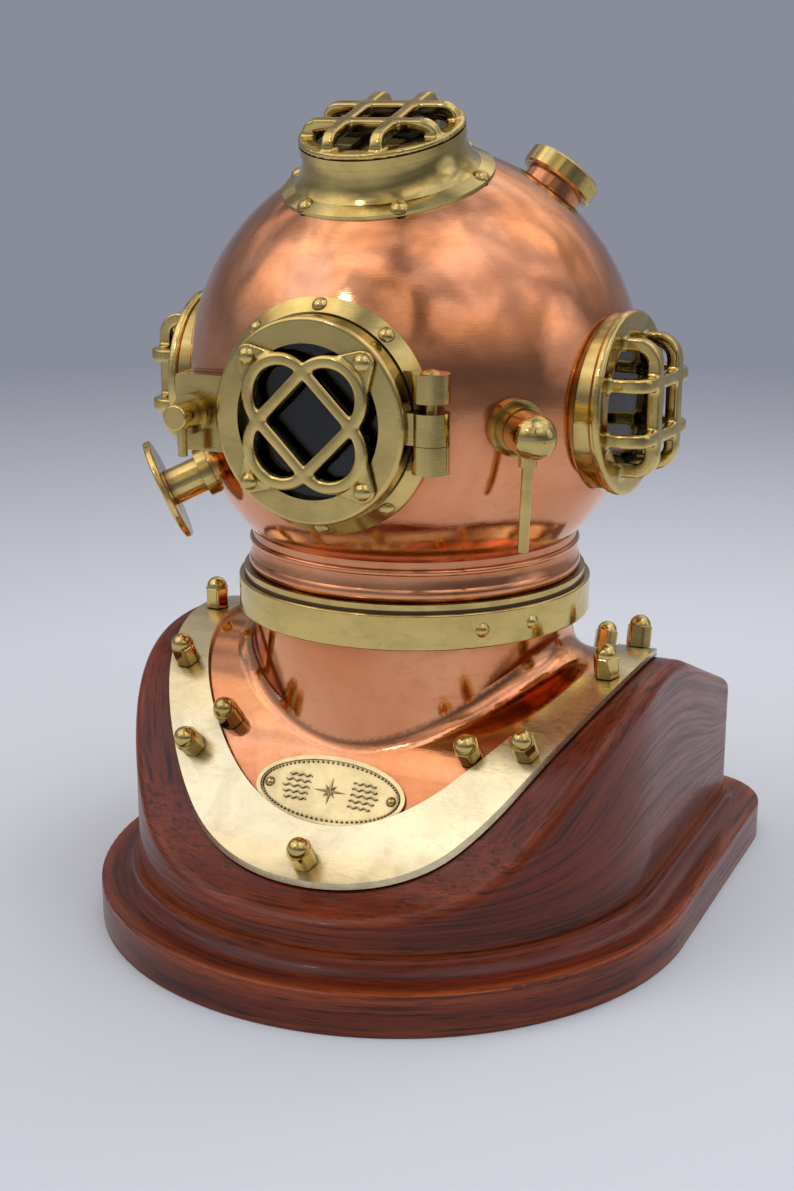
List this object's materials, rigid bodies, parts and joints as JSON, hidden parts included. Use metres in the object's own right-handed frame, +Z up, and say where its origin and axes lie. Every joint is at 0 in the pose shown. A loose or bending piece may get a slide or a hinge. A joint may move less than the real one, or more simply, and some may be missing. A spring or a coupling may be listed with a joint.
{
  "type": "diving helmet",
  "caption": "Copper and brass diving helmet with hinged barred face door, side and top windows, exhaust and spit cock, on a wooden saddle stand.",
  "frame": {"origin": "underside of the stand, on the vertical axis of the round bonnet", "axes": "+Z up, the face window looks towards -Y, +X is the wearer's left"},
  "size_m": [0.442, 0.488, 0.5829],
  "materials": {
    "brass": "polished",
    "copper": "polished copper",
    "wood": "satin",
    "felt": "matt",
    "leather": "matt",
    "glass": "clear"
  },
  "bodies": {
    "stand": {"plinth": "wood", "base_felt": "felt", "saddle_block": "wood", "breastplate": "copper", "brail_strap": "brass", "brail_nuts": "brass", "brail_studs": "brass", "chest_nuts": "brass", "chest_studs": "brass", "nameplate": "brass", "nameplate_screws": "brass", "neck_ring": "brass", "neck_ring_screws": "brass", "neck_gasket": "leather"},
    "bonnet": {"air_port_boss": "copper", "air_port_cap": "brass", "bonnet_collar": "brass", "bonnet_shell": "copper", "exhaust_body": "brass", "face_flange": "brass", "face_flange_rivets": "brass", "face_gasket": "leather", "hinge_pin": "brass", "left_light_glass": "glass", "left_light_guard": "brass", "left_light_ring": "brass", "phone_port_boss": "copper", "phone_port_cap": "brass", "right_light_glass": "glass", "right_light_guard": "brass", "right_light_ring": "brass", "spitcock_body": "brass", "top_light_glass": "glass", "top_light_guard": "brass", "top_light_ring": "brass", "top_light_rivets": "brass"},
    "door": {"door_ring": "brass", "door_glass": "glass", "door_retainer": "brass", "door_guard": "brass", "door_guard_screws": "brass"},
    "latch": {"clamp_screw": "brass"},
    "exhaust_wheel": {"exhaust_handwheel": "brass"},
    "exhaust_stem": {"exhaust_stem": "brass"},
    "spitcock": {"spitcock_lever": "brass"}
  },
  "joints": [
    {"name": "bonnet_turn", "type": "hinge", "parent": "stand", "child": "bonnet", "pos_m": [0, 0, 0.249], "axis": [0, 0, 1], "range_deg": [0, 45]},
    {"name": "door_open", "type": "hinge", "parent": "bonnet", "child": "door", "pos_m": [0.0795, -0.154, 0.381], "axis": [0, 0, 1], "range_deg": [0, 120]},
    {"name": "clamp_turn", "type": "hinge", "parent": "door", "child": "latch", "pos_m": [-0.084, -0.154, 0.381], "axis": [0, -1, 0], "continuous": true},
    {"name": "exhaust_regulate", "type": "hinge", "parent": "bonnet", "child": "exhaust_wheel", "pos_m": [-0.14821, -0.09261, 0.31119], "axis": [-0.7747, -0.4841, -0.4067], "range_deg": [0, 900]},
    {"name": "chin_button", "type": "slide", "parent": "bonnet", "child": "exhaust_stem", "axis": [-0.7747, -0.4841, -0.4067], "range_m": [0, 0.004], "stiffness_N_per_m": 500, "springref_m": -0.002},
    {"name": "spitcock_turn", "type": "hinge", "parent": "bonnet", "child": "spitcock", "pos_m": [0.12789, -0.11926, 0.37677], "axis": [0.7296, -0.6803, -0.0698], "range_deg": [0, 90]}
  ]
}
